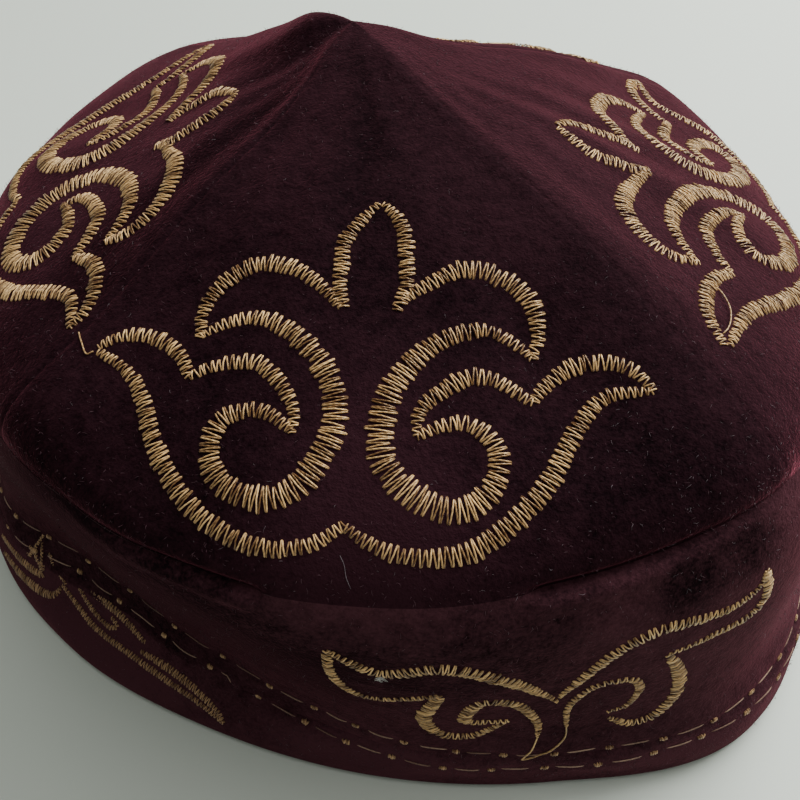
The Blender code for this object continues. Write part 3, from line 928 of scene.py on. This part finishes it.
def zigzag(down, angle, widths, fullness, rng, pitch=STITCH_PITCH, loft=STITCH_LOFT):
    """The stitches of one stroke, as five points each on the velvet, and the normal at each.

    Stitches cross from one edge of the stroke to the other in turn, moving on by a pitch, and two
    that meet at an edge stand a little apart. The stroke's width is a straight run between its ends
    plus a sine hump, whose top is drawn to the fullest share by a power.
    """
    travelled, down_side, angle_side = stroke_frame(down, angle)
    total = travelled[-1]
    count = max(3, int(round(total / pitch)))
    knots = np.linspace(0.0, total, count + 1)
    knots[1:-1] += rng.normal(0.0, PITCH_WANDER * pitch, count - 1)
    share = np.clip(knots / total, 0.0, 1.0)
    start, full, end, fullest = widths
    hump = np.abs(np.sin(math.pi * share ** (math.log(0.5) / math.log(fullest)))) ** FULLNESS_POWER
    ends = start * (1.0 - share) + end * share
    half = 0.5 * fullness * (ends + (full - ends) * hump) * (1.0 + rng.normal(0.0, WIDTH_WANDER, count + 1))
    side = np.where(np.arange(count + 1) % 2 == 0, 1.0, -1.0) * half
    step = STITCH_STATIONS[None, :]
    moved = STITCH_PARTING + (1.0 - 2.0 * STITCH_PARTING) * step
    place = knots[:-1, None] * (1.0 - moved) + knots[1:, None] * moved
    offset = side[:-1, None] * (1.0 - step) + side[1:, None] * step
    at_down = np.interp(place, travelled, down) + offset * np.interp(place, travelled, down_side)
    at_angle = np.interp(place, travelled, angle) + offset * np.interp(place, travelled, angle_side)
    arch = np.sin(math.pi * step)
    lofted = loft * arch**LOFT_POWER * np.minimum(half[:-1, None], WIDEST_LOFTED)
    lift = THREAD_RADIUS * (STITCH_RISE * arch - STITCH_SINK) + lofted
    lift = lift + rng.normal(0.0, HEIGHT_WANDER, (count, 1)) * arch
    normal = cap_normal(at_down, at_angle)
    return velvet_point(at_down, at_angle) + lift[..., None] * normal, normal


def thread_mesh(name, paths, normals, radius, material, rng, roundness=STITCH_ROUND, sides=STITCH_SIDES):
    """Short closed tubes along many paths of equally many points.

    Round each path point stands a ring: the radius times its roundness, turned in the plane across
    the path. Each end is closed by a flat face. The maps hold mm along and turns round, and a tone
    for each tube.
    """
    paths, normals = np.asarray(paths), np.asarray(normals)
    count, stations = paths.shape[:2]
    direction = unit(np.gradient(paths, axis=1))
    binormal = unit(np.cross(direction, normals))
    upright = np.cross(binormal, direction)
    turn = np.arange(sides) * 2.0 * math.pi / sides
    size = np.broadcast_to(radius * roundness, (count, stations))[..., None, None]
    ring = np.cos(turn)[:, None] * binormal[:, :, None, :] + np.sin(turn)[:, None] * upright[:, :, None, :]
    points = paths[:, :, None, :] + size * ring
    index = np.arange(count * stations * sides).reshape(count, stations, sides)
    after = np.roll(index, -1, axis=2)
    corners = (index[:, :-1], index[:, 1:], after[:, 1:], after[:, :-1])
    quads = np.stack(corners, axis=-1).reshape(-1, 4)
    caps = np.concatenate([index[:, 0, :], index[:, -1, ::-1]])
    faces = quads[:, ::-1].tolist() + caps[:, ::-1].tolist()
    mesh = bpy.data.meshes.new(name)
    mesh.from_pydata((points.reshape(-1, 3) * MILLIMETRE).tolist(), [], faces)
    mesh.materials.append(material)
    mesh.shade_smooth()
    spans = np.linalg.norm(np.diff(paths, axis=1), axis=-1)
    lengths = np.concatenate([np.zeros((count, 1)), np.cumsum(spans, axis=1)], axis=1)
    along = np.broadcast_to(lengths[..., None], (count, stations, sides))
    around = np.broadcast_to(turn / (2.0 * math.pi), (count, stations, sides))
    add_uv(mesh, "thread", np.stack([along, around], axis=-1).reshape(-1, 2))
    tone = np.broadcast_to(rng.uniform(0.0, 1.0, (count, 1, 1)), (count, stations, sides)).reshape(-1)
    add_uv(mesh, "tone", np.stack([tone, tone], axis=-1))
    made = bpy.data.objects.new(name, mesh)
    bpy.context.scene.collection.objects.link(made)
    return made


def embroider_gore(name, placing, fullness, material, seed):
    """A gore's motif: each charted stroke is smoothed, set on the gore and filled with stitches."""
    rng = np.random.default_rng(seed)
    sewn = []
    for _, widths, chart in HORN_MOTIF:
        path = smooth_path(chart, 240)
        sewn.append(zigzag(*on_gore(path, *placing), widths, fullness, rng))
    paths, normals = (np.concatenate(parts) for parts in zip(*sewn))
    return thread_mesh(name, paths, normals, THREAD_RADIUS, material, rng)


def embroider_band(name, turn, motif, fullness, radius, pitch, material, seed):
    """A motif of the band: charted in degrees and places down, each stroke filled with stitches."""
    rng = np.random.default_rng(seed)
    sewn = []
    for _, widths, chart in motif:
        path = smooth_path(chart, 200)
        sewn.append(zigzag(path[:, 1], turn + path[:, 0], widths, fullness, rng, pitch))
    paths, normals = (np.concatenate(parts) for parts in zip(*sewn))
    return thread_mesh(name, paths, normals, radius, material, rng)


def lay_thread(name, chart, turn, lift, radius, material, seed, count=40):
    """A single thread along charted places, with narrowed ends.

    It stands off the velvet by a sine to a low power of its share of the length.
    """
    rng = np.random.default_rng(seed)
    path = smooth_path(chart, count)
    down, angle = path[:, 1], turn + path[:, 0]
    arch = np.abs(np.sin(math.pi * np.linspace(0.0, 1.0, count)))
    normal = cap_normal(down, angle)
    raised = lift * arch**0.5 + 0.4 * radius * (2.0 * arch - 1.0)
    points = velvet_point(down, angle) + raised[:, None] * normal
    roundness = np.minimum(1.0, 0.3 + 6.0 * arch)
    return thread_mesh(name, points[None], normal[None], radius, material, rng, roundness)


# Fibres on the velvet
LINT_COUNT = 1100
RIDGE_LINT_COUNT = 500
FLUFF_COUNT = 26
PILE_COUNT = 6000
LINT_RADIUS = 0.019
FLUFF_RADIUS = 0.05
PILE_RADIUS = 0.03
FIBRE_BOW = 0.12
FIBRE_ROUND = np.array([0.9, 1.0, 0.4])
CROWN_SHARE_OF_FACE = 0.42


def scatter_fibres(name, down, angle, length, radius, stand, material, rng):
    """Short fibres at many places on the velvet, each a bow of three points.

    A fibre sets off in a random direction along the face. It leans away from the face by its stand,
    and bows to one side and back down as sines of its share of the length.
    """
    count = len(down)
    along, across = slopes(down, angle)
    normal = cap_normal(down, angle)
    along = unit(along)
    across = np.cross(normal, along)
    turn = rng.uniform(0.0, 2.0 * math.pi, count)[:, None]
    heading = np.cos(turn) * along + np.sin(turn) * across
    aside = np.cross(normal, heading)
    step = np.linspace(0.0, 1.0, 3)[None, :, None]
    bow = rng.normal(0.0, FIBRE_BOW, count)[:, None, None] * np.sin(math.pi * step)
    leant = stand[:, None, None]
    course = np.sqrt(1.0 - leant**2) * step * heading[:, None, :] + leant * step * normal[:, None, :]
    paths = course + bow * aside[:, None, :] + FIBRE_BOW * np.sin(math.pi * step) * normal[:, None, :]
    paths = velvet_point(down, angle)[:, None, :] + length[:, None, None] * paths
    normals = np.broadcast_to(aside[:, None, :], paths.shape)
    return thread_mesh(name, paths, normals, radius, material, rng, FIBRE_ROUND, sides=3)


def scattered_places(count, rng):
    """Places spread evenly over the cap's outer face.

    On the crown the way down is the root of an even share, because a ring grows with it.
    """
    on_crown = rng.uniform(size=count) < CROWN_SHARE_OF_FACE
    down = np.where(on_crown, np.sqrt(rng.uniform(size=count)) * 0.99, rng.uniform(1.01, 2.85, count))
    thinned = np.where(down > STITCH_LINE, STITCH_LINE + 0.95 * (down - STITCH_LINE), down)
    return thinned, rng.uniform(-180.0, 180.0, count)


# Beads and dashes of the stitch rows, in mm. The stretch's middle and reach and a bead's wander
# are in degrees, and the dash's share is of the way between two beads.
BEAD_SPACING = 5.9
BEAD_STRETCH = 3.0
BEAD_STRETCH_MIDDLE = -34.0
BEAD_STRETCH_REACH = 21.0
BEAD_WANDER = 0.22
BEAD_STITCHES = 4
BEAD_RADIUS = 0.19
BEAD_STITCH_GAP = 0.34
BEAD_HALF_WIDTH = 0.46
BEAD_NARROWING = 0.08
BEAD_HEIGHT = 0.40
BEAD_FALL = 0.09
BEAD_SINK = 0.10
DASH_SHARE = 0.55
DASH_WANDER = 0.03
DASH_RADIUS = 0.12
DASH_HEIGHT = 0.20
DASH_SINK = 0.08
DASH_ROUND = np.array([0.5, 0.9, 1.0, 1.0, 1.0, 1.0, 1.0, 0.9, 0.5])
ROW_RADIUS = 86.0


def bead_angles(start):
    """Angles of the beads round a stitch row: even steps, longer by a flat-topped bell at the front left."""
    fine = np.arange(-180.0, 180.0, 0.05)
    stretched = np.exp(-((gap_turn(fine, BEAD_STRETCH_MIDDLE) / BEAD_STRETCH_REACH) ** 4))
    spacing = BEAD_SPACING + BEAD_STRETCH * stretched
    counted = np.cumsum(0.05 / spacing)
    counted = counted * round(counted[-1]) / counted[-1]
    origin = np.interp(start, fine, counted)
    marks = np.arange(math.ceil(-origin), round(counted[-1]) + math.ceil(-origin)) + origin
    return np.interp(marks, counted, fine)


def line_place(angle, low):
    """Place down the cap for so many mm below the stitch line, read off a fine run down each section."""
    down = np.linspace(1.6, 2.95, 140)[None, :]
    gaps = below_line(*np.broadcast_arrays(down, angle[:, None]))
    rows = np.argmax(gaps > low[:, None], axis=1)
    before, after = gaps[np.arange(len(rows)), rows - 1], gaps[np.arange(len(rows)), rows]
    part = (low - before) / (after - before)
    return down[0, rows - 1] + part * (down[0, rows] - down[0, rows - 1])


def sew_row(name, start, low, dash_material, bead_material, seed):
    """A topstitched row: a fine dash between beads of a few tight crosswise stitches.

    A dash rises out of the pile and sinks at both ends, as a sine to a low power. A bead's stitches
    cross the row side by side, shorter away from its middle, and arch as a half ellipse.
    """
    rng = np.random.default_rng(seed)
    angles = bead_angles(start)
    angles = angles + rng.normal(0.0, BEAD_WANDER, len(angles))
    following = np.append(angles[1:], angles[0] + 360.0)
    share = np.linspace(0.5 - 0.5 * DASH_SHARE, 0.5 + 0.5 * DASH_SHARE, len(DASH_ROUND))[None, :]
    share = share + rng.normal(0.0, DASH_WANDER, (len(angles), 1))
    angle = angles[:, None] * (1.0 - share) + following[:, None] * share
    down = line_place(angle.ravel(), low(angle.ravel())).reshape(angle.shape)
    arch = np.abs(np.sin(math.pi * np.linspace(0.0, 1.0, len(DASH_ROUND))))[None, :]
    lift = DASH_HEIGHT * arch**0.4 - DASH_SINK
    normal = cap_normal(down, angle)
    paths = velvet_point(down, angle) + lift[..., None] * normal
    dashes = thread_mesh(name + "_dashes", paths, normal, DASH_RADIUS, dash_material, rng, DASH_ROUND)
    order = np.arange(BEAD_STITCHES) - 0.5 * (BEAD_STITCHES - 1)
    across = np.linspace(-1.0, 1.0, 5)[None, :]
    centre = np.repeat(angles, BEAD_STITCHES)
    which = np.tile(order, len(angles))[:, None]
    slant = rng.normal(0.0, 0.10, (len(centre), 1))
    angle = centre[:, None] + (which * BEAD_STITCH_GAP + across * slant) * math.degrees(1.0 / ROW_RADIUS)
    reach = BEAD_HALF_WIDTH - BEAD_NARROWING * np.abs(which)
    reach = reach * (1.0 + rng.normal(0.0, 0.12, (len(centre), 1)))
    below = low(angle.ravel()).reshape(angle.shape) + across * reach
    down = line_place(angle.ravel(), below.ravel()).reshape(angle.shape)
    normal = cap_normal(down, angle)
    arch = np.sqrt(np.clip(1.0 - across**2, 0.0, 1.0))
    lift = (BEAD_HEIGHT - BEAD_FALL * np.abs(which)) * arch - BEAD_SINK
    paths = velvet_point(down, angle) + lift[..., None] * normal
    beads = thread_mesh(name + "_beads", paths, normal, BEAD_RADIUS, bead_material, rng)
    return [dashes, beads]


# Finishes
CROWN_SHADE = (0.0046, 0.0020, 0.0031)
CROWN_TONE = (0.028, 0.0095, 0.0140)
# The band's colours are lighter than the crown's, standing in for the sheen that BAND_SHEEN holds back:
# painted sheen
BAND_SHADE = (0.0072, 0.0032, 0.0046)
BAND_TONE = (0.068, 0.0240, 0.0320)

# Lit and shaded copies of one velvet: they differ only in sheen weight, as painted light and shade
crown_velvets = {
    "crown_front": make_velvet("crown_front_velvet", CROWN_SHADE, CROWN_TONE, FRONT_SHEEN),
    "crown_right": make_velvet("crown_right_velvet", CROWN_SHADE, CROWN_TONE, RIGHT_SHEEN),
    "crown_back": make_velvet("crown_back_velvet", CROWN_SHADE, CROWN_TONE, BACK_SHEEN),
    "crown_left": make_velvet("crown_left_velvet", CROWN_SHADE, CROWN_TONE, LEFT_SHEEN),
}
band_velvet = make_velvet("band_velvet", BAND_SHADE, BAND_TONE, BAND_SHEEN)
lining = make_lining("lining")
gold = make_gold_thread("gold_thread", (0.14, 0.060, 0.018), (0.86, 0.55, 0.24), 0.30)
dash_gold = make_gold_thread("worn_thread", (0.15, 0.075, 0.060), (0.40, 0.26, 0.19), 0.5)
bead_gold = make_gold_thread("bead_thread", (0.15, 0.070, 0.028), (0.55, 0.34, 0.17), 0.4)
lint = make_plain("lint", (0.30, 0.25, 0.28), 0.8)
fluff = make_plain("fluff", (0.85, 0.84, 0.82), 0.8)
pile_fibre = make_plain("pile_fibre", (0.060, 0.020, 0.030), 0.6)
brushed_fibre = make_plain("brushed_fibre", (0.100, 0.040, 0.056), 0.6)

# The cap
pieces = []
for node_name, *placing, fullness in GORES:
    gore = make_gore(node_name + "_velvet", placing[0], (crown_velvets[node_name], lining))
    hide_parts(node_name)
    motif = embroider_gore(node_name + "_embroidery", placing, fullness, gold, 20 + int(placing[0]) % 7)
    pieces += [gore, motif]
band = make_band((band_velvet, lining))
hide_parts("band")
pieces.append(band)
for number, turn in enumerate(BAND_MOTIF_TURNS):
    name = f"band_embroidery_{number + 1}"
    seed = 50 + number
    pieces.append(embroider_band(name, turn, BAND_MOTIF, 0.94, THREAD_RADIUS, STITCH_PITCH, gold, seed))
    for count, chart in enumerate(BAND_STEMS):
        name = f"band_stem_{number + 1}_{count + 1}"
        pieces.append(lay_thread(name, chart, turn, 0.15, 0.15, gold, 80 + 2 * number + count))
pieces.append(embroider_band("hem_embroidery", 0.0, HEM_MOTIF, 0.76, 0.11, 0.34, bead_gold, 60))
pieces += sew_row("upper_row", 10.8, upper_row, dash_gold, bead_gold, 70)
pieces += sew_row("lower_row", 9.4, lower_row, dash_gold, bead_gold, 71)
for name, lift, radius, chart in SPARE_THREADS:
    pieces.append(lay_thread(name, chart, 0.0, lift, radius, gold, 90))
pieces.append(lay_thread("stray_hair", STRAY_HAIR, 0.0, 0.05, 0.025, lint, 91))

# Lint, fluff and the ends of the pile
rng = np.random.default_rng(5)
down, angle = scattered_places(LINT_COUNT, rng)
down = np.append(down, rng.uniform(0.45, 1.15, RIDGE_LINT_COUNT))
angle = np.append(angle, rng.normal(42.0, 13.0, RIDGE_LINT_COUNT))
size = 0.20 + 0.8 * rng.uniform(size=len(down)) ** 3
stand = rng.uniform(0.05, 0.4, len(down))
pieces.append(scatter_fibres("lint", down, angle, size, LINT_RADIUS, stand, lint, rng))
down = WHITE_FLUFF[1] + rng.normal(0.0, 0.004, FLUFF_COUNT)
angle = WHITE_FLUFF[0] + rng.normal(0.0, 0.2, FLUFF_COUNT)
size = rng.uniform(0.5, 1.3, FLUFF_COUNT)
stand = rng.uniform(0.1, 0.6, FLUFF_COUNT)
pieces.append(scatter_fibres("white_fluff", down, angle, size, FLUFF_RADIUS, stand, fluff, rng))
for number, fibre in enumerate((pile_fibre, brushed_fibre)):
    down, angle = scattered_places(PILE_COUNT, rng)
    size = rng.uniform(0.35, 0.85, PILE_COUNT)
    stand = rng.uniform(0.5, 0.9, PILE_COUNT)
    name = f"pile_ends_{number + 1}"
    pieces.append(scatter_fibres(name, down, angle, size, PILE_RADIUS, stand, fibre, rng))
for piece in pieces:
    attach(piece, "root")

# The table, the light and the camera
TABLE_COLOUR = (0.69, 0.755, 0.675)
TABLE_REACH = 3000.0

table_corners = np.array([[-1.0, -1.0, 0.0], [1.0, -1.0, 0.0], [1.0, 1.0, 0.0], [-1.0, 1.0, 0.0]])
table_top, tree, shader = start_material("table_top")
shader.inputs["Base Color"].default_value = (*TABLE_COLOUR, 1.0)
shader.inputs["Roughness"].default_value = 0.55
table = new_object("table", TABLE_REACH * table_corners, [[0, 1, 2, 3]], (table_top,))


def add_light(name, place, target, size, power, colour):
    """A square soft lamp at a place in metres, turned to a target."""
    lamp = bpy.data.lights.new(name, "AREA")
    lamp.size = size
    lamp.energy = power
    lamp.color = colour
    holder = bpy.data.objects.new(name, lamp)
    bpy.context.scene.collection.objects.link(holder)
    holder.location = place
    away = np.array(place) - np.array(target)
    turn = math.atan2(away[0], -away[1])
    tilt = math.atan2(math.hypot(away[0], away[1]), away[2])
    holder.rotation_euler = (tilt, 0.0, turn)
    return holder


add_light("window", (0.50, 0.56, 0.72), (0.0, 0.0, 0.05), 0.8, 21.0, (1.0, 1.0, 0.98))
add_light("room", (0.25, -0.05, 1.3), (0.0, 0.0, 0.05), 1.0, 5.8, (1.0, 1.0, 0.97))
world = bpy.data.worlds.new("room_light")
world.use_nodes = True
world.node_tree.nodes["Background"].inputs[0].default_value = (0.98, 1.0, 0.96, 1.0)
world.node_tree.nodes["Background"].inputs[1].default_value = 0.22
bpy.context.scene.world = world

CAMERA_PLACE = (0.017674, -0.146523, 0.167256)
CAMERA_YAW, CAMERA_PITCH, CAMERA_ROLL = 5.937, -46.163, 0.776
CAMERA_LENS = 39.346


def camera_turn(yaw, pitch, roll):
    """Columns to the right, ahead and up: a roll, then a pitch, then a turn about the upright."""
    cy, sy = math.cos(math.radians(yaw)), math.sin(math.radians(yaw))
    cp, sp = math.cos(math.radians(pitch)), math.sin(math.radians(pitch))
    cr, sr = math.cos(math.radians(roll)), math.sin(math.radians(roll))
    about_z = np.array([[cy, -sy, 0.0], [sy, cy, 0.0], [0.0, 0.0, 1.0]])
    about_x = np.array([[1.0, 0.0, 0.0], [0.0, cp, -sp], [0.0, sp, cp]])
    about_y = np.array([[cr, 0.0, sr], [0.0, 1.0, 0.0], [-sr, 0.0, cr]])
    return about_z @ about_x @ about_y


right, ahead, up = camera_turn(CAMERA_YAW, CAMERA_PITCH, CAMERA_ROLL).T
lens = bpy.data.cameras.new("camera")
lens.lens = CAMERA_LENS
lens.clip_start = 0.01
camera = bpy.data.objects.new("camera", lens)
bpy.context.scene.collection.objects.link(camera)
stance = np.eye(4)
stance[:3, :3] = np.stack([right, up, -ahead], axis=1)
stance[:3, 3] = CAMERA_PLACE
camera.matrix_world = Matrix(stance.tolist())
bpy.context.scene.camera = camera
